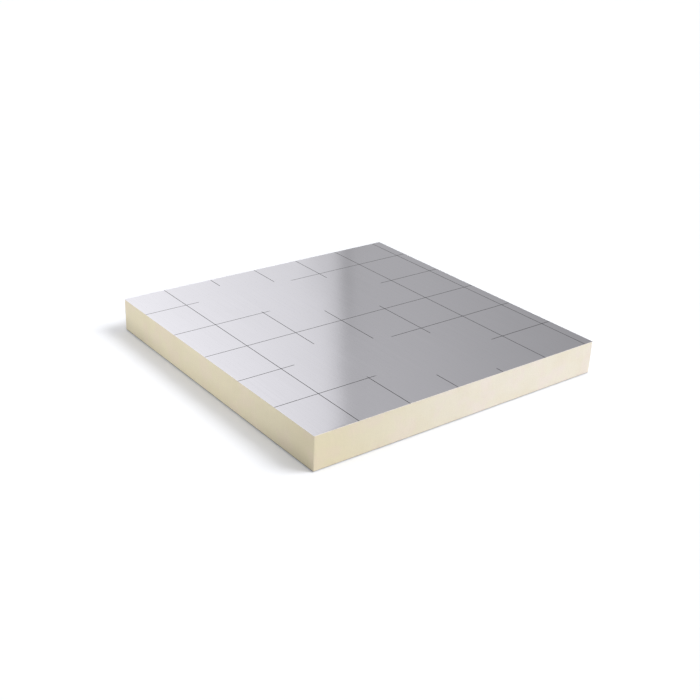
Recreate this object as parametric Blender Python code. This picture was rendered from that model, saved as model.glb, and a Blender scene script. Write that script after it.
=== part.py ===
"""Foil-faced polyiso roof insulation board, lying flat.

A rigid slab of closed-cell foam, cast between two thin foil facers and sawn square on all four sides.
Metres, +Z up. The origin is the centre of the underside. +X and +Y run along the board's two sides.
"""

import bmesh
import bpy
import mathutils

# Overall size of the board, over both facers.
BOARD_LENGTH = 0.600
BOARD_WIDTH = 0.600
BOARD_THICKNESS = 0.060

# Each facer is a laminate of foil on kraft paper.
TOP_FACER_THICKNESS = 0.0002
BOTTOM_FACER_THICKNESS = 0.0002

# The bond line between a facer and the foam.
BOND_LINE = 0.0003

# The saw leaves the foil flush with the foam and sharp at its corners.
# Handling wears the foam's upright corners round, so the foil's tips stand a little past them.
CORNER_WEAR_RADIUS = 0.0012
CORNER_WEAR_SEGMENTS = 4

# The two ends of an upright edge are no further apart than this in plan.
SAME_PLACE = 0.000001


def finish(name, colour, roughness, metallic):
    """Return a material with one colour, roughness and metallic value."""
    material = bpy.data.materials.new(name)
    material.use_nodes = True
    shader = material.node_tree.nodes["Principled BSDF"]
    shader.inputs["Base Color"].default_value = (*colour, 1.0)
    shader.inputs["Roughness"].default_value = roughness
    shader.inputs["Metallic"].default_value = metallic
    material.diffuse_color = (*colour, 1.0)
    return material


def foam():
    """Cream, matt, closed-cell foam."""
    return finish("cream_foam", (0.80, 0.71, 0.52), 0.90, 0.0)


def printed_foil():
    """The lacquered aluminium foil of the upper face."""
    return finish("upper_foil", (0.86, 0.85, 0.88), 0.30, 1.0)


def plain_foil():
    """The bare aluminium foil of the underside."""
    return finish("lower_foil", (0.78, 0.77, 0.76), 0.38, 1.0)


def slab(length, width, bottom, top):
    """Return a closed box mesh between two heights, centred on the origin in plan."""
    mesh = bmesh.new()
    bmesh.ops.create_cube(mesh, size=1.0)
    size = mathutils.Vector((length, width, top - bottom))
    bmesh.ops.scale(mesh, vec=size, verts=mesh.verts)
    lift = mathutils.Vector((0.0, 0.0, (bottom + top) / 2))
    bmesh.ops.translate(mesh, vec=lift, verts=mesh.verts)
    return mesh


def add_object(name, mesh, material):
    """Store the mesh as a named object in the scene, with its material."""
    data = bpy.data.meshes.new(name)
    mesh.to_mesh(data)
    mesh.free()
    data.materials.append(material)
    piece = bpy.data.objects.new(name, data)
    bpy.context.scene.collection.objects.link(piece)
    return piece


def upright_edges(mesh):
    """Return the four edges that stand between the underside and the top of a slab."""
    found = []
    for edge in mesh.edges:
        run = edge.verts[1].co - edge.verts[0].co
        if run.xy.length < SAME_PLACE:
            found.append(edge)
    return found


def build_foam_core():
    """The foam slab, between the two bond lines, with its upright corners worn round."""
    bottom = BOTTOM_FACER_THICKNESS + BOND_LINE
    top = BOARD_THICKNESS - TOP_FACER_THICKNESS - BOND_LINE
    mesh = slab(BOARD_LENGTH, BOARD_WIDTH, bottom, top)
    bmesh.ops.bevel(
        mesh,
        geom=upright_edges(mesh),
        offset=CORNER_WEAR_RADIUS,
        offset_type="OFFSET",
        segments=CORNER_WEAR_SEGMENTS,
        profile=0.5,
        affect="EDGES",
    )
    bmesh.ops.recalc_face_normals(mesh, faces=mesh.faces)
    return add_object("foam_core", mesh, foam())


def build_facer(name, bottom, top, material):
    """One foil sheet, cut to the board's outline."""
    return add_object(name, slab(BOARD_LENGTH, BOARD_WIDTH, bottom, top), material)


def build_board():
    """The three bonded layers, from the underside up."""
    build_facer("bottom_facer", 0.0, BOTTOM_FACER_THICKNESS, plain_foil())
    build_foam_core()
    top_facer_seat = BOARD_THICKNESS - TOP_FACER_THICKNESS
    build_facer("top_facer", top_facer_seat, BOARD_THICKNESS, printed_foil())


def clear_scene():
    """Remove every object that the scene starts with."""
    for piece in list(bpy.data.objects):
        bpy.data.objects.remove(piece, do_unlink=True)


clear_scene()
build_board()
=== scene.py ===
"""Foil-faced polyiso roof board: its foam, its two foil facers, their finishes and the studio round it."""

import logging
import math
import random
from collections.abc import Callable
from dataclasses import dataclass, field
from enum import Enum

import bmesh
import bpy
from mathutils import Matrix, Vector


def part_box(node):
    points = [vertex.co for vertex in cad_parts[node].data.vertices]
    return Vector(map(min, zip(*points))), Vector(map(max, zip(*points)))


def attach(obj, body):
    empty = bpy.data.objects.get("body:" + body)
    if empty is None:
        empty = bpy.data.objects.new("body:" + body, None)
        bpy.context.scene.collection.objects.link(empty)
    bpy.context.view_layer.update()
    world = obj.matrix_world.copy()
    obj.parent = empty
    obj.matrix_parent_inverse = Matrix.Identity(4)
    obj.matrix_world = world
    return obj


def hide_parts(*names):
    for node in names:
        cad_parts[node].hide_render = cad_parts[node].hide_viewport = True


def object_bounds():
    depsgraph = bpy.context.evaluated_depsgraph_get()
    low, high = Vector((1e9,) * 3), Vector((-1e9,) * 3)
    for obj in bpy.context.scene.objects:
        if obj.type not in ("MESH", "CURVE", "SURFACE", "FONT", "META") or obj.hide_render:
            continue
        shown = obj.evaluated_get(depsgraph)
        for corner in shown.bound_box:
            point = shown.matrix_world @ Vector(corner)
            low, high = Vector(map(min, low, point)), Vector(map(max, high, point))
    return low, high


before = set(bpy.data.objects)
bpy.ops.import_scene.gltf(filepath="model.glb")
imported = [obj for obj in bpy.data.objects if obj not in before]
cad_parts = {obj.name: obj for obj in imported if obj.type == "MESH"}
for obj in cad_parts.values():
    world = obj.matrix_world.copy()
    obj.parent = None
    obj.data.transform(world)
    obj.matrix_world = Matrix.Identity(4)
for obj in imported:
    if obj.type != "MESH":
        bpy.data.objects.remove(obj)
cad_low, cad_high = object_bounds()

log = logging.getLogger("board")

MM = 0.001
QUARTER_TURN = math.radians(90.0)
WALLS = 4
# The middle of a cloudy pattern's range, and of a ramp.
MIDDLE = 0.5
# A face looks along Z where its normal has more of Z than this.
FACING = 0.5
# An edge stands upright where it runs sideways by less than this share of its height.
PLUMB = 0.01

Number = float | int
Colour = tuple[float, float, float]


class Wire:
    """One output of a shader node. Plain arithmetic on it adds Math nodes."""

    def __init__(self, graph: "ShaderGraph", socket: bpy.types.NodeSocket) -> None:
        """Wrap a socket of a node in that graph."""
        self.graph = graph
        self.socket = socket

    def __add__(self, other: "Wire | Number") -> "Wire":
        """Return self + other."""
        return self.graph.math("ADD", self, other)

    def __radd__(self, other: Number) -> "Wire":
        """Return other + self."""
        return self.graph.math("ADD", other, self)

    def __sub__(self, other: "Wire | Number") -> "Wire":
        """Return self - other."""
        return self.graph.math("SUBTRACT", self, other)

    def __rsub__(self, other: Number) -> "Wire":
        """Return other - self."""
        return self.graph.math("SUBTRACT", other, self)

    def __mul__(self, other: "Wire | Number") -> "Wire":
        """Return self * other."""
        return self.graph.math("MULTIPLY", self, other)

    def __rmul__(self, other: Number) -> "Wire":
        """Return other * self."""
        return self.graph.math("MULTIPLY", other, self)

    def __truediv__(self, other: "Wire | Number") -> "Wire":
        """Return self / other."""
        return self.graph.math("DIVIDE", self, other)

    def __mod__(self, other: Number) -> "Wire":
        """Return self modulo other, never negative."""
        return self.graph.math("FLOORED_MODULO", self, other)

    def __abs__(self) -> "Wire":
        """Return the size of self without its sign."""
        return self.graph.math("ABSOLUTE", self)


class ShaderGraph:
    """The node tree of a material or a world, built up by calls."""

    def __init__(self, tree: bpy.types.NodeTree) -> None:
        """Start from an empty tree."""
        self.tree = tree
        self.tree.nodes.clear()

    def node(
        self, kind: str, settings: dict[str, object] | None = None, **inputs: object
    ) -> bpy.types.Node:
        """Add a node.

        Args:
            kind: the node's type name, without its ShaderNode prefix.
            settings: the node's own settings. A ramp's stops are pairs of position and grey level.
            inputs: the value or the Wire of each socket, by its name with _ for a space, or as input_N.

        Returns:
            The node.
        """
        node = self.tree.nodes.new("ShaderNode" + kind)
        for name, value in (settings or {}).items():
            if name == "stops":
                self._set_stops(node.color_ramp, value)
            else:
                setattr(node, name, value)
        for name, value in inputs.items():
            if name.startswith("input_"):
                socket = node.inputs[int(name.removeprefix("input_"))]
            else:
                socket = node.inputs[name.replace("_", " ")]
            if isinstance(value, Wire):
                self.tree.links.new(value.socket, socket)
            else:
                socket.default_value = value
        return node

    @staticmethod
    def _set_stops(ramp: bpy.types.ColorRamp, stops: list[tuple[float, float]]) -> None:
        """Give a ramp its grey stops.

        Args:
            ramp: the ramp, as new.
            stops: pairs of position and grey level, by rising position.
        """
        ramp.elements.remove(ramp.elements[-1])
        for place, (position, level) in enumerate(stops):
            stop = ramp.elements[0] if place == 0 else ramp.elements.new(position)
            stop.position = position
            stop.color = (level, level, level, 1.0)

    def wire(self, node: bpy.types.Node, output: str | int = 0) -> Wire:
        """Return one output of a node."""
        return Wire(self, node.outputs[output])

    def finish(self, shader: bpy.types.Node, kind: str) -> None:
        """Join a shader to the tree's output, of the kind OutputMaterial or OutputWorld."""
        self.tree.links.new(shader.outputs[0], self.node(kind).inputs["Surface"])

    def axes(self, vector: Wire) -> tuple[Wire, Wire, Wire]:
        """Return a vector's X, Y and Z."""
        node = self.node("SeparateXYZ", Vector=vector)
        return self.wire(node, "X"), self.wire(node, "Y"), self.wire(node, "Z")

    def vector(self, x: "Wire | Number", y: "Wire | Number", z: "Wire | Number") -> Wire:
        """Return a vector from its X, Y and Z."""
        return self.wire(self.node("CombineXYZ", X=x, Y=y, Z=z))

    def math(self, operation: str, *values: "Wire | Number") -> Wire:
        """Return the result of a Math node."""
        inputs = {f"input_{place}": value for place, value in enumerate(values)}
        return self.wire(self.node("Math", {"operation": operation}, **inputs))

    def lowest(self, first: "Wire | Number", second: "Wire | Number") -> Wire:
        """Return the lower of two values."""
        return self.math("MINIMUM", first, second)

    def highest(self, first: "Wire | Number", second: "Wire | Number") -> Wire:
        """Return the higher of two values."""
        return self.math("MAXIMUM", first, second)

    def between(self, value: Wire, low: Number, high: "Wire | Number") -> Wire:
        """Return 1 where a value is over low and under high, 0 elsewhere."""
        return self.math("GREATER_THAN", value, low) * self.math("LESS_THAN", value, high)

    def dot(self, vector: Wire, fixed: Vector) -> Wire:
        """Return the dot product of a vector and a fixed one."""
        settings = {"operation": "DOT_PRODUCT"}
        return self.wire(self.node("VectorMath", settings, input_0=vector, input_1=tuple(fixed)), "Value")

    def scaled(self, vector: Wire, factors: Colour) -> Wire:
        """Return a vector or a colour with each of its parts multiplied by its own factor."""
        settings = {"operation": "MULTIPLY"}
        return self.wire(self.node("VectorMath", settings, input_0=vector, input_1=factors))

    def ease(self, value: Wire, start: float, end: float, low: float = 0.0, high: float = 1.0) -> Wire:
        """Return a smooth step.

        Args:
            value: what the step depends on.
            start: where it leaves low.
            end: where it reaches high.
            low: the result before start.
            high: the result after end.

        Returns:
            The eased value.
        """
        ends = {"From_Min": start, "From_Max": end, "To_Min": low, "To_Max": high}
        return self.wire(self.node("MapRange", {"interpolation_type": "SMOOTHSTEP"}, Value=value, **ends))

    def blend(self, share: Wire, first: "Wire | Colour", second: "Wire | Colour") -> Wire:
        """Return a mix of two colours.

        Args:
            share: how much of the second is in the mix, from 0 to 1.
            first: the colour at 0.
            second: the colour at 1.

        Returns:
            The mixed colour.
        """
        opaque = [(*colour, 1.0) if isinstance(colour, tuple) else colour for colour in (first, second)]
        # A Mix node's two colours are its inputs 6 and 7, and the mixed colour is its output 2.
        node = self.node(
            "Mix", {"data_type": "RGBA"}, input_0=share, input_6=opaque[0], input_7=opaque[1]
        )
        return self.wire(node, 2)

    def shade(self, colour: "Wire | Colour", factor: Wire) -> Wire:
        """Return a colour with each channel multiplied by one factor."""
        return self.wire(self.node("VectorMath", {"operation": "SCALE"}, input_0=colour, Scale=factor))

    def relief(self, height: Wire) -> Wire:
        """Return the normal of a surface that is raised by a height in metres."""
        return self.wire(self.node("Bump", Height=height, Distance=1.0))


@dataclass(frozen=True)
class Cloud:
    """A cloudy pattern, by how many patches it has in a metre along X, Y and Z."""

    x: float
    y: float
    z: float
    detail: float = 2.0
    roughness: float = 0.5

    @classmethod
    def even(cls, per_metre: float, detail: float = 2.0, roughness: float = 0.5) -> "Cloud":
        """Return a pattern with as many patches along each axis."""
        return cls(per_metre, per_metre, per_metre, detail, roughness)

    def read(self, graph: ShaderGraph, place: Wire) -> Wire:
        """Return the pattern at a place.

        Args:
            graph: the material's graph.
            place: a place on the piece.

        Returns:
            A value from 0 to 1, mostly near its middle.
        """
        patches = graph.scaled(place, (self.x, self.y, self.z))
        node = graph.node(
            "TexNoise", Vector=patches, Scale=1.0, Detail=self.detail, Roughness=self.roughness
        )
        return graph.wire(node, "Fac")

    def sway(self, graph: ShaderGraph, place: Wire) -> Wire:
        """Return the pattern at a place, swinging round 0."""
        return self.read(graph, place) - MIDDLE


@dataclass(frozen=True)
class Finish:
    """What all the finishes share: a name and a Principled surface read in Object coordinates."""

    name: str

    def material(self) -> bpy.types.Material:
        """Make a new material with this finish.

        Returns:
            The material.
        """
        material = bpy.data.materials.new(self.name)
        material.use_nodes = True
        graph = ShaderGraph(material.node_tree)
        place = graph.wire(graph.node("TexCoord"), "Object")
        graph.finish(self.surface(graph, place), "OutputMaterial")
        return material

    def surface(self, graph: ShaderGraph, place: Wire) -> bpy.types.Node:
        """Return the shader node. Each finish has its own."""
        raise NotImplementedError


@dataclass(frozen=True)
class Ink:
    """The black print, thin enough in specks to let the foil through."""

    colour: Colour = (0.012, 0.012, 0.014)
    roughness: float = 0.30
    speckle: Cloud = Cloud.even(2500.0, detail=1.0)
    speckle_depth: float = 0.12
    speckle_start: float = 0.25
    speckle_end: float = 0.50

    def density(self, graph: ShaderGraph, place: Wire) -> Wire:
        """Return how well the ink covers at a place, up to 1."""
        speckle = self.speckle.read(graph, place)
        return graph.ease(speckle, self.speckle_start, self.speckle_end, 1.0 - self.speckle_depth, 1.0)


@dataclass(frozen=True)
class CuttingGrid:
    """The grid of cutting lines printed on the upper foil, and the slanted panels that it leaves clear.

    Distances run from the board's left edge and from its back edge.
    """

    ink: Ink = Ink()
    pitch_across: float = 99.66 * MM
    pitch_along: float = 103.14 * MM
    first_from_left: float = 81.8 * MM
    first_from_back: float = 83.8 * MM
    lines_across: int = 6
    lines_along: int = 5
    line_width: float = 1.3 * MM
    line_softness: float = 0.25 * MM
    rows_per_panel: int = 3
    panel_tilt: float = math.radians(20.0)
    panel_start: float = 130.0 * MM
    panel_end: float = 490.7 * MM
    panel_upper: float = -28.2 * MM
    panel_lower_left: float = 108.8 * MM
    panel_lower_right: float = 127.6 * MM
    panel_step: float = 300 * MM

    def ruled(self, graph: ShaderGraph, distance: Wire, first: float, pitch: float, count: int) -> Wire:
        """Return 1 on lines that repeat at a pitch, 0 between them.

        Args:
            graph: the material's graph.
            distance: how far the point is from the edge.
            first: the first line's distance from the edge.
            pitch: the distance between lines.
            count: how many lines there are.

        Returns:
            The mask of the lines.
        """
        place = (distance - first) / pitch
        nearest = graph.lowest(graph.math("ROUND", place), count - 1)
        away = abs(place - nearest) * pitch
        inner = (self.line_width - self.line_softness) / 2
        outer = (self.line_width + self.line_softness) / 2
        return graph.ease(away, inner, outer, 1.0, 0.0)

    def clear_panel(self, graph: ShaderGraph, from_left: Wire, from_back: Wire) -> Wire:
        """Return 1 inside the slanted panels, 0 outside.

        Args:
            graph: the material's graph.
            from_left: the distance from the left edge.
            from_back: the distance from the back edge.

        Returns:
            The mask of the panels.
        """
        slant, lean = math.cos(self.panel_tilt), math.sin(self.panel_tilt)
        repeated = from_back % (self.pitch_along * self.rows_per_panel)
        run = from_left * slant + repeated * lean
        rise = repeated * slant - from_left * lean
        widening = self.panel_lower_right - self.panel_lower_left
        lower = graph.math("GREATER_THAN", run, self.panel_step) * widening + self.panel_lower_left
        return graph.between(run, self.panel_start, self.panel_end) * graph.between(
            rise, self.panel_upper, lower
        )

    def cover(self, graph: ShaderGraph, place: Wire) -> Wire:
        """Return how far the ink covers the foil.

        Args:
            graph: the material's graph.
            place: a place on the board.

        Returns:
            The ink's mask, from 0 to 1.
        """
        x, y, _ = graph.axes(place)
        from_left = x - cad_low.x
        from_back = cad_high.y - y
        long_lines = self.ruled(
            graph, from_left, self.first_from_left, self.pitch_across, self.lines_across
        )
        cross_lines = self.ruled(
            graph, from_back, self.first_from_back, self.pitch_along, self.lines_along
        )
        printed = 1 - self.clear_panel(graph, from_left, from_back)
        return graph.highest(long_lines, cross_lines) * printed * self.ink.density(graph, place)


@dataclass(frozen=True)
class FoilFinish(Finish):
    """Satin aluminium foil under a clear lacquer, rolled along the board's Y side, printed or plain."""

    tint: Colour = (0.904, 0.893, 0.953)
    roughness: float = 0.07
    roughness_play: float = 0.02
    streaks: Cloud = Cloud(420.0, 4.0, 1.0, detail=3.0, roughness=0.6)
    streak_depth: float = 0.09
    mottle: Cloud = Cloud.even(14.0, detail=3.0)
    mottle_depth: float = 0.03
    peel: Cloud = Cloud.even(260.0)
    peel_height: float = 0.010 * MM
    grid: CuttingGrid | None = None

    def surface(self, graph: ShaderGraph, place: Wire) -> bpy.types.Node:
        """Return the foil's shader, with its print if it has one.

        Args:
            graph: the material's graph.
            place: a place on the facer.

        Returns:
            The shader node.
        """
        streaks = self.streaks.sway(graph, place)
        mottle = self.mottle.sway(graph, place)
        colour = graph.shade(self.tint, 1.0 + streaks * self.streak_depth + mottle * self.mottle_depth)
        roughness = self.roughness + (streaks + mottle) * self.roughness_play
        if self.grid is not None:
            cover = self.grid.cover(graph, place)
            colour = graph.blend(cover, colour, self.grid.ink.colour)
            roughness = roughness + cover * (self.grid.ink.roughness - self.roughness)
        peel = self.peel.read(graph, place) * self.peel_height
        return graph.node(
            "BsdfPrincipled", Base_Color=colour, Metallic=1.0,
            Roughness=roughness, Normal=graph.relief(peel),
        )


@dataclass(frozen=True)
class CutEdgeFinish(Finish):
    """A facer's sawn edge: foil over kraft paper, smeared together by the blade, with painted shade
    darkening it along the board's left wall.
    """

    paper: Colour = (0.94, 0.87, 0.82)
    foil: Colour = (0.90, 0.88, 0.87)
    roughness: float = 0.62
    least_metal: float = 0.0
    most_metal: float = 0.3
    smear: Cloud = Cloud.even(120.0, detail=4.0)
    smear_start: float = 0.38
    smear_end: float = 0.62
    fibres: Cloud = Cloud.even(1800.0)
    fibre_depth: float = 0.3
    fibre_height: float = 0.02 * MM
    # Painted shade: how much darker the edge is along the board's left wall, and within what reach of it.
    edge_shade: float = 0.0
    edge_shade_reach: float = 2.0 * MM

    def surface(self, graph: ShaderGraph, place: Wire) -> bpy.types.Node:
        """Return the cut edge's shader.

        Args:
            graph: the material's graph.
            place: a place on the facer.

        Returns:
            The shader node.
        """
        smear = graph.ease(self.smear.read(graph, place), self.smear_start, self.smear_end)
        fibres = self.fibres.sway(graph, place)
        # Painted shade along the board's left wall.
        shaded_edge = graph.ease(graph.axes(place)[0], cad_low.x + self.edge_shade_reach, cad_low.x, 0.0, self.edge_shade)
        grain = (1.0 + fibres * self.fibre_depth) * (1.0 - shaded_edge)
        colour = graph.shade(graph.blend(smear, self.paper, self.foil), grain)
        metal = self.least_metal + smear * (self.most_metal - self.least_metal)
        return graph.node(
            "BsdfPrincipled", Base_Color=colour, Metallic=metal,
            Roughness=self.roughness, Normal=graph.relief(fibres * self.fibre_height),
        )


@dataclass(frozen=True)
class FoamFinish(Finish):
    """Sawn closed-cell foam: cream, matt, pitted by cut cells, denser and darker beside each facer.
    Painted shade darkens the pits, the left wall's foot and the slab round its left front corner, and
    turns the cream darker and yellower towards the left wall.
    """

    fresh: Colour = (0.768, 0.717, 0.607)
    blush: Colour = (1.012, 0.985, 1.035)
    blush_patches: Cloud = Cloud.even(26.0, detail=3.0)
    blush_start: float = 0.45
    blush_end: float = 0.62
    # Painted shade: the cream turns darker and yellower towards the left wall, the shaded side.
    left_shade_cream: Colour = (0.714, 0.652, 0.480)
    left_shade_reach: float = 350 * MM
    ochre: Colour = (0.652, 0.568, 0.400)
    mottle: Cloud = Cloud.even(22.0, detail=4.0, roughness=0.6)
    flow: Cloud = Cloud(9.0, 9.0, 70.0, detail=5.0, roughness=0.65)
    flow_share: float = 0.4
    flow_depth: float = 0.08
    ochre_start: float = 0.42
    ochre_end: float = 0.72
    ochre_share: float = 0.30
    skin_share: float = 0.30
    skin_depth: float = 2.2 * MM
    skin_wander: Cloud = Cloud.even(60.0)
    # Painted shade on the left wall, darker towards its foot and its two ends.
    foot_shade_depth: float = 0.14
    foot_shade_reach: float = 2.0 * MM
    foot_shade_height: float = 35 * MM
    foot_shade_start: float = 100 * MM
    foot_shade_end: float = 280 * MM
    # Painted shade round the slab's left front corner: its tint and its reach.
    corner_shade_tint: Colour = (0.945, 0.935, 0.905)
    corner_shade_reach: float = 110 * MM
    cells_per_metre: float = 1500.0
    cell_height: float = 0.09 * MM
    pit_edge: float = 0.42
    pit_floor: float = 0.10
    # Painted shade: how much darker the cut cells' pits are.
    pit_shade: float = 0.16
    saw_marks: Cloud = Cloud(260.0, 6.0, 1.0, detail=3.0, roughness=0.65)
    saw_arc: float = 9.0
    saw_height: float = 0.09 * MM
    saw_depth: float = 0.07
    brightness: float = 1.02
    roughness: float = 0.92
    gloss: float = 0.25

    def skin(self, graph: ShaderGraph, place: Wire) -> Wire:
        """Return 1 where the foam meets a facer, falling to 0 inside the slab.

        Args:
            graph: the material's graph.
            place: a place on the slab.

        Returns:
            The mask of the dense skin.
        """
        height = graph.axes(place)[2]
        nearest = graph.lowest(height, cad_high.z - height)
        wander = self.skin_wander.sway(graph, place) * self.skin_depth
        return graph.ease(nearest + wander, 0.0, self.skin_depth, 1.0, 0.0)

    def painted_foot_shade(self, graph: ShaderGraph, place: Wire) -> Wire:
        """Return the painted shade on the left wall, which darkens towards its foot and most of all at the
        wall's two ends.

        Args:
            graph: the material's graph.
            place: a place on the slab.

        Returns:
            The painted shade, from 0 to 1.
        """
        x, y, z = graph.axes(place)
        on_wall = graph.ease(x, cad_low.x + self.foot_shade_reach, cad_low.x)
        at_end = graph.ease(abs(y), self.foot_shade_start, self.foot_shade_end)
        return on_wall * at_end * graph.ease(z, self.foot_shade_height, cad_low.z)

    def painted_corner_shade(self, graph: ShaderGraph, place: Wire) -> Wire:
        """Return how far painted shade darkens and warms the slab round its left front corner.

        Args:
            graph: the material's graph.
            place: a place on the slab.

        Returns:
            The painted shade, from 0 to 1.
        """
        x, y, _ = graph.axes(place)
        across = x - cad_low.x
        along = y - cad_low.y
        from_corner = graph.math("SQRT", across * across + along * along)
        return graph.ease(from_corner, self.corner_shade_reach, 0.0)

    def sawn(self, graph: ShaderGraph, place: Wire) -> Wire:
        """Return the saw's fine marks, which run up the walls in shallow arcs, swinging round 0.

        Args:
            graph: the material's graph.
            place: a place on the slab.

        Returns:
            The marks' height, from -0.5 to 0.5.
        """
        x, y, z = graph.axes(place)
        height = z - cad_high.z / 2
        track = graph.vector(x + y + height * height * self.saw_arc, height, 0.0)
        return self.saw_marks.sway(graph, track)

    def surface(self, graph: ShaderGraph, place: Wire) -> bpy.types.Node:
        """Return the foam's shader.

        Args:
            graph: the material's graph.
            place: a place on the slab.

        Returns:
            The shader node.
        """
        mottle = self.mottle.read(graph, place)
        flow = self.flow.read(graph, place)
        sawn = self.sawn(graph, place)
        cellular = graph.node("TexVoronoi", {"feature": "F1"}, Vector=place, Scale=self.cells_per_metre)
        cells = graph.wire(cellular, "Distance")
        pits = graph.ease(cells, self.pit_floor, self.pit_edge, 1.0, 0.0)
        blotches = mottle * (1.0 - self.flow_share) + flow * self.flow_share
        warmth = graph.highest(
            graph.ease(blotches, self.ochre_start, self.ochre_end) * self.ochre_share,
            self.skin(graph, place) * self.skin_share,
        )
        # Painted shade: darker, yellower cream towards the left wall.
        left_shade = graph.ease(graph.axes(place)[0], cad_low.x + self.left_shade_reach, cad_low.x)
        blushed = graph.ease(self.blush_patches.read(graph, place), self.blush_start, self.blush_end)
        cream = graph.blend(left_shade, self.fresh, self.left_shade_cream)
        cream = graph.blend(blushed, cream, graph.scaled(cream, self.blush))
        # Painted shade: darker, warmer cream round the left front corner.
        cream = graph.blend(self.painted_corner_shade(graph, place), cream, graph.scaled(cream, self.corner_shade_tint))
        grain = self.brightness + sawn * self.saw_depth + (flow - MIDDLE) * self.flow_depth
        # Painted shade in the cut cells' pits.
        grain = grain - pits * self.pit_shade
        # Painted shade: the left wall darker towards its foot and its ends.
        grain = grain * (1.0 - self.painted_foot_shade(graph, place) * self.foot_shade_depth)
        colour = graph.shade(graph.blend(warmth, cream, self.ochre), grain)
        height = sawn * self.saw_height + cells * self.cell_height
        return graph.node(
            "BsdfPrincipled", Base_Color=colour, Metallic=0.0, Roughness=self.roughness,
            Specular_IOR_Level=self.gloss, Normal=graph.relief(height),
        )


@dataclass(frozen=True)
class FloorFinish(Finish):
    """The studio's plain white floor."""

    white: Colour = (0.878, 0.889, 0.926)
    cloud: Cloud = Cloud.even(3.0, detail=1.0)
    cloud_depth: float = 0.01
    roughness: float = 0.9

    def surface(self, graph: ShaderGraph, place: Wire) -> bpy.types.Node:
        """Return the floor's shader."""
        colour = graph.shade(self.white, 1.0 + self.cloud.sway(graph, place) * self.cloud_depth)
        return graph.node(
            "BsdfPrincipled", Base_Color=colour, Roughness=self.roughness, Specular_IOR_Level=0.0
        )


class Element(Enum):
    """What a selection in edit mode picks, and the name of its list in the mesh."""

    VERTEX = ("VERT", "verts")
    EDGE = ("EDGE", "edges")
    FACE = ("FACE", "faces")


class Workpiece:
    """A mesh started from a primitive and shaped in edit mode."""

    def __init__(self, name: str) -> None:
        """Take up the primitive that was added last, and name it.

        Args:
            name: the piece's name.
        """
        self.body: bpy.types.Object = bpy.context.active_object
        self.body.name = name
        self.body.data.name = name

    @staticmethod
    def clear_bench() -> None:
        """Leave nothing selected, so that operators act on the new piece alone."""
        if bpy.context.mode != "OBJECT":
            bpy.ops.object.mode_set(mode="OBJECT")
        bpy.ops.object.select_all(action="DESELECT")

    def take_up(self) -> None:
        """Make this piece the only one that operators act on."""
        self.clear_bench()
        self.body.select_set(True)
        bpy.context.view_layer.objects.active = self.body

    def open(self) -> None:
        """Enter edit mode."""
        bpy.ops.object.mode_set(mode="EDIT")

    def close(self) -> None:
        """Leave edit mode."""
        bpy.ops.object.mode_set(mode="OBJECT")

    def select(self, element: Element, wanted: Callable[..., bool]) -> None:
        """Select what passes a test, and nothing else.

        Args:
            element: whether vertices, edges or faces are picked.
            wanted: the test, given one of them.
        """
        mode, list_name = element.value
        bpy.ops.mesh.select_mode(type=mode)
        bpy.ops.mesh.select_all(action="DESELECT")
        mesh = bmesh.from_edit_mesh(self.body.data)
        for item in getattr(mesh, list_name):
            if wanted(item):
                item.select = True
        mesh.select_flush_mode()
        bmesh.update_edit_mesh(self.body.data)

    def ruffle(self, name: str, size: float, depth: float, detail: int = 2) -> None:
        """Push the surface in along its normals by a cloudy pattern, never out.

        Args:
            name: the pattern's name.
            size: the size of the pattern's patches.
            depth: the deepest push.
            detail: how many finer layers the pattern has.
        """
        pattern = bpy.data.textures.new(name, "CLOUDS")
        pattern.noise_scale = size
        pattern.noise_depth = detail
        self.modify("DISPLACE", texture=pattern, texture_coords="LOCAL", mid_level=1.0, strength=depth)

    def modify(self, kind: str, **settings: object) -> None:
        """Add a modifier and apply it.

        Args:
            kind: the modifier's type.
            settings: its settings, by name.
        """
        modifier = self.body.modifiers.new(kind.lower(), kind)
        for name, value in settings.items():
            setattr(modifier, name, value)
        bpy.ops.object.modifier_apply(modifier=modifier.name)

    def settle(self) -> None:
        """Put the object at the origin, unturned and unscaled, with its place in its mesh."""
        bpy.ops.object.transform_apply(location=True, rotation=True, scale=True)

    def hand_over(self, node: str) -> bpy.types.Object:
        """Set the piece in place of its CAD node.

        Args:
            node: the node that it stands for.

        Returns:
            The piece's object.
        """
        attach(self.body, "root")
        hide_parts(node)
        return self.body


class Side(Enum):
    """Which way a facer's foil looks, as the sign of its normal's height."""

    UPPER = 1.0
    LOWER = -1.0


class Coat(Enum):
    """Which of a facer's two materials a face takes."""

    FOIL = 0
    EDGE = 1


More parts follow.
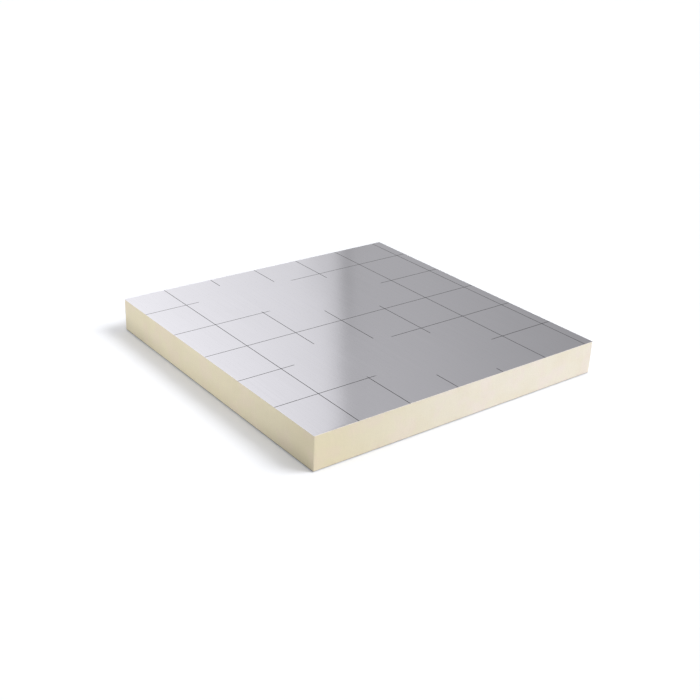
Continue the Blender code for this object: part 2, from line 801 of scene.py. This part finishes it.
@dataclass
class Facer:
    """One facer: a thin laminate with a gently uneven foil face and sawn edges."""

    name: str
    node: str
    slot: str
    side: Side
    foil: FoilFinish
    edge: CutEdgeFinish
    thickness: float = 0.5 * MM
    cells: int = 96
    wave_length: float = 70 * MM
    wave_depth: float = 0.06 * MM
    hem_width: float = 1.4 * MM
    hem_drop: float = 0.03 * MM
    crease: float = math.radians(35.0)

    def build(self) -> bpy.types.Object:
        """Model the facer, dress it and set it in place of its CAD node.

        Returns:
            The facer's object.
        """
        low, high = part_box(self.node)
        outer = high.z if self.side is Side.UPPER else low.z
        middle = (low + high) / 2
        Workpiece.clear_bench()
        bpy.ops.mesh.primitive_grid_add(
            x_subdivisions=self.cells, y_subdivisions=self.cells, size=high.x - low.x,
            location=(middle.x, middle.y, outer),
        )
        piece = Workpiece(self.name)
        piece.settle()
        self._hem(piece)
        piece.ruffle(self.name + "_wave", self.wave_length, self.wave_depth)
        back = Coat.EDGE.value
        piece.modify(
            "SOLIDIFY", thickness=self.thickness, offset=-1.0,
            material_offset=back, material_offset_rim=back,
        )
        self._dress(piece)
        return piece.hand_over(self.node)

    def _hem(self, piece: Workpiece) -> None:
        """Cut a narrow hem along the four edges, let its rim fall away, and turn the face outwards.

        Args:
            piece: the flat sheet.
        """
        piece.open()
        piece.select(Element.FACE, lambda face: True)
        bpy.ops.mesh.inset(thickness=self.hem_width, depth=0.0)
        piece.select(Element.VERTEX, lambda vertex: vertex.is_boundary)
        bpy.ops.transform.translate(value=(0.0, 0.0, -self.hem_drop * self.side.value))
        if self.side is Side.LOWER:
            bpy.ops.mesh.select_all(action="SELECT")
            bpy.ops.mesh.flip_normals()
        piece.close()

    def _dress(self, piece: Workpiece) -> None:
        """Give the face its foil, and the rim and the back their paper.

        Args:
            piece: the sheet with its thickness.
        """
        data = piece.body.data
        data.materials.append(self.foil.material())
        data.materials.append(self.edge.material())
        for polygon in data.polygons:
            outward = polygon.normal.z * self.side.value > FACING
            polygon.material_index = (Coat.FOIL if outward else Coat.EDGE).value
        bpy.ops.object.shade_smooth_by_angle(angle=self.crease)


@dataclass
class Hollow:
    """A blowhole or a chip in the foam."""

    centre: Vector
    width: float
    stretch: float

    @property
    def reach(self) -> float:
        """Return how far it reaches up and down from its centre."""
        return self.width * self.stretch

    def clears(self, other: "Hollow", clearance: float) -> bool:
        """Return whether another hollow is far enough away, in shares of their reaches."""
        return (self.centre - other.centre).length > (self.reach + other.reach) * clearance


@dataclass
class FoamCore:
    """The foam slab between the facers, with saw-cut walls, worn upright corners and open blowholes."""

    finish: FoamFinish
    name: str = "foam_slab"
    node: str = "foam_core"
    corner_radius: float = 1.2 * MM
    corner_segments: int = 3
    cell_along: float = 2.0 * MM
    cell_up: float = 2.0 * MM
    drift_size: float = 60 * MM
    drift_depth: float = 0.14 * MM
    chatter_size: float = 7 * MM
    chatter_depth: float = 0.07 * MM
    blowholes_per_side: int = 60
    blowhole_radius: tuple[float, float] = (0.25 * MM, 0.75 * MM)
    blowhole_stretch: tuple[float, float] = (0.8, 1.6)
    blowhole_crowding: float = 0.55
    blowhole_margin: float = 0.04
    blowhole_reach: float = 0.985
    chips: int = 14
    chip_radius: tuple[float, float] = (0.5 * MM, 1.2 * MM)
    chip_stretch: tuple[float, float] = (1.0, 2.5)
    chip_margin: float = 0.05
    chip_reach: float = 0.999
    clearance: float = 1.6
    roundness: int = 2
    raggedness: float = 0.12
    evenness: float = 0.4
    rim_share: float = 0.25
    crease: float = math.radians(35.0)
    seed: int = 11
    low: Vector = field(init=False)
    high: Vector = field(init=False)
    dice: random.Random = field(init=False)

    def build(self) -> bpy.types.Object:
        """Model the slab, dress it and set it in place of its CAD node.

        Returns:
            The slab's object.
        """
        self.low, self.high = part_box(self.node)
        self.dice = random.Random(self.seed)
        middle = (self.low + self.high) / 2
        Workpiece.clear_bench()
        bpy.ops.mesh.primitive_cube_add(size=1.0, location=middle, scale=self.high - self.low)
        piece = Workpiece(self.name)
        piece.settle()
        self._saw_walls(piece)
        piece.ruffle("saw_drift", self.drift_size, self.drift_depth)
        piece.ruffle("saw_chatter", self.chatter_size, self.chatter_depth)
        self._close_faces(piece)
        self._open_hollows(piece)
        piece.body.data.materials.append(self.finish.material())
        bpy.ops.object.shade_smooth_by_angle(angle=self.crease)
        return piece.hand_over(self.node)

    def _saw_walls(self, piece: Workpiece) -> None:
        """Round the upright corners, open the slab and divide its walls finely.

        Args:
            piece: the plain slab.
        """
        size = self.high - self.low
        piece.open()
        piece.select(Element.EDGE, self._is_upright)
        bpy.ops.mesh.bevel(
            offset=self.corner_radius, offset_type="OFFSET", segments=self.corner_segments, affect="EDGES"
        )
        piece.select(Element.FACE, lambda face: abs(face.normal.z) > FACING)
        bpy.ops.mesh.delete(type="FACE")
        piece.select(Element.EDGE, lambda edge: edge.calc_length() > size.x / 2)
        bpy.ops.mesh.subdivide(number_cuts=round(size.x / self.cell_along) - 1)
        piece.select(Element.EDGE, self._is_upright)
        bpy.ops.mesh.subdivide(number_cuts=round(size.z / self.cell_up) - 1)
        piece.close()

    @staticmethod
    def _is_upright(edge: bmesh.types.BMEdge) -> bool:
        """Return whether an edge stands straight up."""
        run = edge.verts[1].co - edge.verts[0].co
        return run.xy.length < abs(run.z) * PLUMB

    def _close_faces(self, piece: Workpiece) -> None:
        """Fill the upper and the lower face, which the facers cover.

        Args:
            piece: the slab's four walls.
        """
        near = self.cell_up * self.rim_share
        piece.open()
        for level in (self.low.z, self.high.z):
            piece.select(
                Element.EDGE,
                lambda edge: edge.is_boundary and abs(edge.verts[0].co.z - level) < near,
            )
            bpy.ops.mesh.edge_face_add()
        bpy.ops.mesh.select_all(action="SELECT")
        bpy.ops.mesh.normals_make_consistent(inside=False)
        piece.close()

    def _wall_point(self, side: int, along: float, height: float) -> Vector:
        """Return a point on one of the four walls.

        Args:
            side: 0 to 3 for the front, right, back and left wall.
            along: how far along the wall, from -1 to 1.
            height: how far up the wall, from 0 to 1.

        Returns:
            The point.
        """
        reach = (self.high.x - self.low.x) / 2
        turn = Matrix.Rotation(QUARTER_TURN * side, 3, "Z")
        point = turn @ Vector((along * reach, -reach, 0.0))
        point.z = self.low.z + height * (self.high.z - self.low.z)
        return point

    def _blowhole(self, side: int) -> Hollow:
        """Return a blowhole somewhere on a wall, most likely near a facer.

        Args:
            side: the wall's number.

        Returns:
            The blowhole.
        """
        share = self.dice.betavariate(self.blowhole_crowding, self.blowhole_crowding)
        height = self.blowhole_margin + share * (1.0 - 2 * self.blowhole_margin)
        along = self.dice.uniform(-self.blowhole_reach, self.blowhole_reach)
        centre = self._wall_point(side, along, height)
        width = self.dice.triangular(*self.blowhole_radius, self.blowhole_radius[0])
        return Hollow(centre, width, self.dice.uniform(*self.blowhole_stretch))

    def _chip(self) -> Hollow:
        """Return a chip in one of the upright corners.

        Returns:
            The chip.
        """
        height = self.dice.uniform(self.chip_margin, 1.0 - self.chip_margin)
        centre = self._wall_point(self.dice.randrange(WALLS), self.chip_reach, height)
        width = self.dice.uniform(*self.chip_radius)
        return Hollow(centre, width, self.dice.uniform(*self.chip_stretch))

    def _hollows(self) -> list[Hollow]:
        """Place the blowholes and the chips, and leave out any that would touch another.

        Returns:
            Those that are kept.
        """
        kept: list[Hollow] = []
        found = [self._blowhole(side) for side in range(WALLS) for _ in range(self.blowholes_per_side)]
        found += [self._chip() for _ in range(self.chips)]
        for hollow in found:
            if all(hollow.clears(other, self.clearance) for other in kept):
                kept.append(hollow)
        return kept

    def _open_hollows(self, piece: Workpiece) -> None:
        """Cut the blowholes and the chips with one joined cutter.

        Args:
            piece: the closed slab.
        """
        Workpiece.clear_bench()
        bpy.ops.mesh.primitive_ico_sphere_add(subdivisions=self.roundness, radius=1.0)
        pattern = Workpiece("hollow")
        pattern.open()
        bpy.ops.mesh.select_all(action="SELECT")
        bpy.ops.transform.vertex_random(
            offset=self.raggedness, uniform=self.evenness, normal=0.0, seed=self.seed
        )
        pattern.close()
        copies = []
        for hollow in self._hollows():
            copy = pattern.body.copy()
            copy.data = pattern.body.data.copy()
            copy.location = hollow.centre
            copy.scale = (hollow.width, hollow.width, hollow.reach)
            copy.rotation_euler.z = self.dice.uniform(0.0, math.tau)
            bpy.context.scene.collection.objects.link(copy)
            copies.append(copy)
        bpy.data.objects.remove(pattern.body)
        for copy in copies:
            copy.select_set(True)
        bpy.context.view_layer.objects.active = copies[0]
        bpy.ops.object.join()
        cutter = bpy.context.active_object
        piece.take_up()
        piece.modify("BOOLEAN", operation="DIFFERENCE", solver="EXACT", object=cutter)
        bpy.data.objects.remove(cutter)


@dataclass
class Camera:
    """The camera, set by where it looks from, as a photographer would."""

    azimuth: float = math.radians(-38.28)
    elevation: float = math.radians(25.36)
    roll: float = math.radians(2.445)
    distance: float = 1.8739
    target: Vector = field(default_factory=lambda: Vector((-0.0412, -0.0467, 0.0294)))
    lens: float = 54.91
    sensor: float = 36.0

    @property
    def back(self) -> Vector:
        """Return the direction from the board to the camera."""
        level = math.cos(self.elevation)
        return Vector(
            (math.sin(self.azimuth) * level, -math.cos(self.azimuth) * level, math.sin(self.elevation))
        )

    @property
    def right(self) -> Vector:
        """Return the level direction to the camera's right."""
        return Vector((math.cos(self.azimuth), math.sin(self.azimuth), 0.0))

    @property
    def ahead(self) -> Vector:
        """Return the level direction away from the camera."""
        return Vector((-math.sin(self.azimuth), math.cos(self.azimuth), 0.0))

    def build(self) -> bpy.types.Object:
        """Place the camera and make it the scene's.

        Returns:
            The camera's object.
        """
        up = self.back.cross(self.right)
        right = self.right * math.cos(self.roll) + up * math.sin(self.roll)
        upright = up * math.cos(self.roll) - self.right * math.sin(self.roll)
        data = bpy.data.cameras.new("camera")
        data.lens = self.lens
        data.sensor_width = self.sensor
        camera = bpy.data.objects.new("camera", data)
        axes = Matrix((right, upright, self.back)).transposed().to_4x4()
        camera.matrix_world = Matrix.Translation(self.target + self.back * self.distance) @ axes
        bpy.context.scene.collection.objects.link(camera)
        bpy.context.scene.camera = camera
        return camera


def hang(data: bpy.types.Light, place: Vector, towards: Vector) -> bpy.types.Object:
    """Hang a light that the foil doesn't mirror.

    Args:
        data: the light's own data.
        place: where it hangs.
        towards: the direction that it shines from, away from what it lights.

    Returns:
        The light's object.
    """
    light = bpy.data.objects.new(data.name, data)
    light.location = place
    light.rotation_euler = towards.to_track_quat("Z", "Y").to_euler()
    light.visible_glossy = False
    bpy.context.scene.collection.objects.link(light)
    return light


@dataclass(frozen=True)
class Key:
    """The wide soft key light, at the camera's right and above."""

    power: float = 1.87
    elevation: float = math.radians(48.8)
    width: float = math.radians(30.0)

    def build(self, camera: Camera) -> bpy.types.Object:
        """Hang the light.

        Args:
            camera: the camera that it stands beside.

        Returns:
            The light's object.
        """
        data = bpy.data.lights.new("key", "SUN")
        data.energy = self.power
        data.angle = self.width
        towards = camera.right * math.cos(self.elevation)
        towards.z = math.sin(self.elevation)
        return hang(data, camera.target, towards)


@dataclass(frozen=True)
class Fill:
    """A small soft light with a beam that fades towards its rim.

    It lifts one wall of the board, or the floor's shadow beside one of its corners.
    """

    name: str
    position: Vector
    aim: Vector
    power: float
    beam: float
    fade: float = 1.0
    size: float = 0.12

    def build(self) -> bpy.types.Object:
        """Hang the light and aim it.

        Returns:
            The light's object.
        """
        data = bpy.data.lights.new(self.name, "SPOT")
        data.shadow_soft_size = self.size
        data.spot_size = self.beam
        data.spot_blend = self.fade
        data.energy = self.power
        return hang(data, self.position, self.position - self.aim)


@dataclass(frozen=True)
class Crease:
    """A darker upright strip in the lower part of a wall, fading to both sides and upwards, in degrees."""

    shade: float
    start: float
    middle: float
    end: float
    height: float
    top: float

    def dimming(self, graph: ShaderGraph, heading: Wire, height: Wire) -> Wire:
        """Return what is left of the wall's brightness in one direction.

        Args:
            graph: the world's graph.
            heading: the direction's heading from the wall's middle.
            height: its angle above the floor.

        Returns:
            The share that is left, from 0 to 1.
        """
        rising = graph.ease(heading, math.radians(self.start), math.radians(self.middle))
        falling = graph.ease(heading, math.radians(self.middle), math.radians(self.end), 1.0, 0.0)
        low_part = graph.ease(height, math.radians(self.height), math.radians(self.top), 1.0, 0.0)
        return 1.0 - rising * falling * low_part * self.shade


@dataclass(frozen=True)
class Wall:
    """One of the room's four like walls: a white screen on its left, then shade, as the foil mirrors it.

    Headings run from the wall's middle, in degrees, rising to its right. Each tone holds at its heading.
    The seam and the fold are creases where the screen ends.
    """

    tones: tuple[tuple[float, float], ...] = (
        (-45.0, 0.50),
        (-34.0, 0.95),
        (-14.0, 1.00),
        (-8.0, 0.868),
        (-3.0, 0.76),
        (-1.7, 0.72),
        (-0.85, 0.62),
        (-0.3, 0.455),
        (0.1, 0.446),
        (1.6, 0.457),
        (4.0, 0.443),
        (13.0, 0.355),
        (32.0, 0.30),
        (45.0, 0.50),
    )
    width: float = QUARTER_TURN
    lean: float = 0.08
    lean_height: float = math.radians(25.0)
    foot_tone: float = 0.92
    foot: float = math.radians(18.0)
    head_tone: float = 1.01
    head: float = math.radians(30.0)
    seam: Crease = Crease(shade=0.13, start=-0.5, middle=-0.05, end=0.5, height=22.0, top=26.0)
    fold: Crease = Crease(shade=0.09, start=-2.9, middle=-1.7, end=-0.7, height=20.0, top=24.0)

    def tone(self, graph: ShaderGraph, heading: Wire, height: Wire) -> Wire:
        """Return the wall's colour in one direction.

        Args:
            graph: the world's graph.
            heading: the direction's heading.
            height: its angle above the floor.

        Returns:
            The colour.
        """
        leaned = heading - (height - self.lean_height) * self.lean
        turn = (leaned + self.width / 2) % self.width - self.width / 2
        stops = [(math.radians(degrees) / self.width + MIDDLE, level) for degrees, level in self.tones]
        screen = graph.wire(graph.node("ValToRGB", {"stops": stops}, Fac=turn / self.width + MIDDLE))
        dimming = graph.ease(height, self.foot, self.head, self.foot_tone, self.head_tone)
        creased = self.seam.dimming(graph, turn, height) * self.fold.dimming(graph, turn, height)
        return graph.shade(screen, dimming * creased)


@dataclass(frozen=True)
class Ceiling:
    """The room's pale ceiling, brighter ahead of the camera than behind it."""

    near: float = 0.56
    far: float = 1.05
    spread: float = 0.32
    start: float = math.radians(36.0)
    end: float = math.radians(60.0)

    def tone(self, graph: ShaderGraph, ahead: Wire) -> Wire:
        """Return the ceiling's brightness, by how far ahead a direction points."""
        return graph.ease(ahead, -self.spread, self.spread, self.near, self.far)


@dataclass(frozen=True)
class Studio:
    """A white floor, a key, four fills and the round room that the foil mirrors."""

    camera: Camera
    key: Key = Key()
    wall: Wall = Wall()
    ceiling: Ceiling = Ceiling()
    floor: FloorFinish = FloorFinish("studio_white")
    floor_size: float = 60.0
    floor_gap: float = 1.3 * MM
    backdrop: Colour = (1.0, 1.0, 1.0)
    fills: tuple[Fill, ...] = (
        Fill(
            "left_fill",
            position=Vector((-0.95, 0.16, 0.06)),
            aim=Vector((-0.30, 0.11, 0.04)),
            power=4.9,
            beam=math.radians(66.0),
            fade=0.6,
        ),
        Fill(
            "right_fill",
            position=Vector((0.60, -1.10, 0.30)),
            aim=Vector((0.28, -0.30, 0.03)),
            power=2.7,
            beam=math.radians(60.0),
        ),
        Fill(
            "near_corner_fill",
            position=Vector((-0.33, -1.20, 0.50)),
            aim=Vector((-0.375, -0.21, 0.0)),
            power=18.0,
            beam=math.radians(8.5),
        ),
        Fill(
            "far_corner_fill",
            position=Vector((-0.34, 1.20, 0.50)),
            aim=Vector((-0.38, 0.30, 0.0)),
            power=15.0,
            beam=math.radians(9.0),
        ),
    )

    def build(self) -> None:
        """Lay the floor, hang the lights and paint the room."""
        self._lay_floor()
        self.key.build(self.camera)
        for fill in self.fills:
            fill.build()
        self._paint_room()
        bpy.context.scene.view_settings.view_transform = "Standard"

    def _lay_floor(self) -> None:
        """Lay a wide plain floor just below the board."""
        Workpiece.clear_bench()
        level = cad_low.z - self.floor_gap
        bpy.ops.mesh.primitive_plane_add(size=self.floor_size, location=(0.0, 0.0, level))
        piece = Workpiece("studio_floor")
        piece.settle()
        piece.body.data.materials.append(self.floor.material())

    def _paint_room(self) -> None:
        """Paint the walls and the ceiling, and leave a white backdrop for the camera itself."""
        world = bpy.data.worlds.new("studio")
        world.use_nodes = True
        bpy.context.scene.world = world
        graph = ShaderGraph(world.node_tree)
        direction = graph.wire(graph.node("TexCoord"), "Generated")
        sideways = graph.dot(direction, self.camera.right)
        ahead = graph.dot(direction, self.camera.ahead)
        height = graph.math("ARCSINE", graph.axes(direction)[2])
        walls = self.wall.tone(graph, graph.math("ARCTAN2", sideways, ahead), height)
        overhead = graph.ease(height, self.ceiling.start, self.ceiling.end)
        room = graph.blend(overhead, walls, self.ceiling.tone(graph, ahead))
        seen = graph.wire(graph.node("LightPath"), "Is Camera Ray")
        colour = graph.blend(seen, room, self.backdrop)
        graph.finish(graph.node("Background", Color=colour, Strength=1.0), "OutputWorld")


def main() -> None:
    """Build the board's pieces, then the camera and the studio."""
    logging.basicConfig(level=logging.INFO, format="%(name)s: %(message)s")
    printed_foil = FoilFinish("printed_foil", grid=CuttingGrid())
    plain_foil = FoilFinish("plain_foil", tint=(0.85, 0.845, 0.86), roughness=0.24)
    # The edge finishes take painted shade along the board's left wall.
    papered_edge = CutEdgeFinish("papered_edge", edge_shade=0.15)
    bare_edge = CutEdgeFinish(
        "bare_edge", paper=(0.64, 0.61, 0.54), foil=(0.65, 0.62, 0.57),
        roughness=0.32, least_metal=0.7, most_metal=1.0, edge_shade=0.65,
    )
    pieces = [
        Facer("bottom_foil", "bottom_facer", "plain_foil", Side.LOWER, plain_foil, bare_edge),
        FoamCore(FoamFinish("cream_foam")),
        Facer("top_foil", "top_facer", "printed_foil", Side.UPPER, printed_foil, papered_edge),
    ]
    for piece in pieces:
        body = piece.build()
        log.info("%s: %d faces", body.name, len(body.data.polygons))
    camera = Camera()
    camera.build()
    log.info("camera: %.1f mm lens at %.2f m", camera.lens, camera.distance)
    Studio(camera).build()


if __name__ == "__main__":
    main()
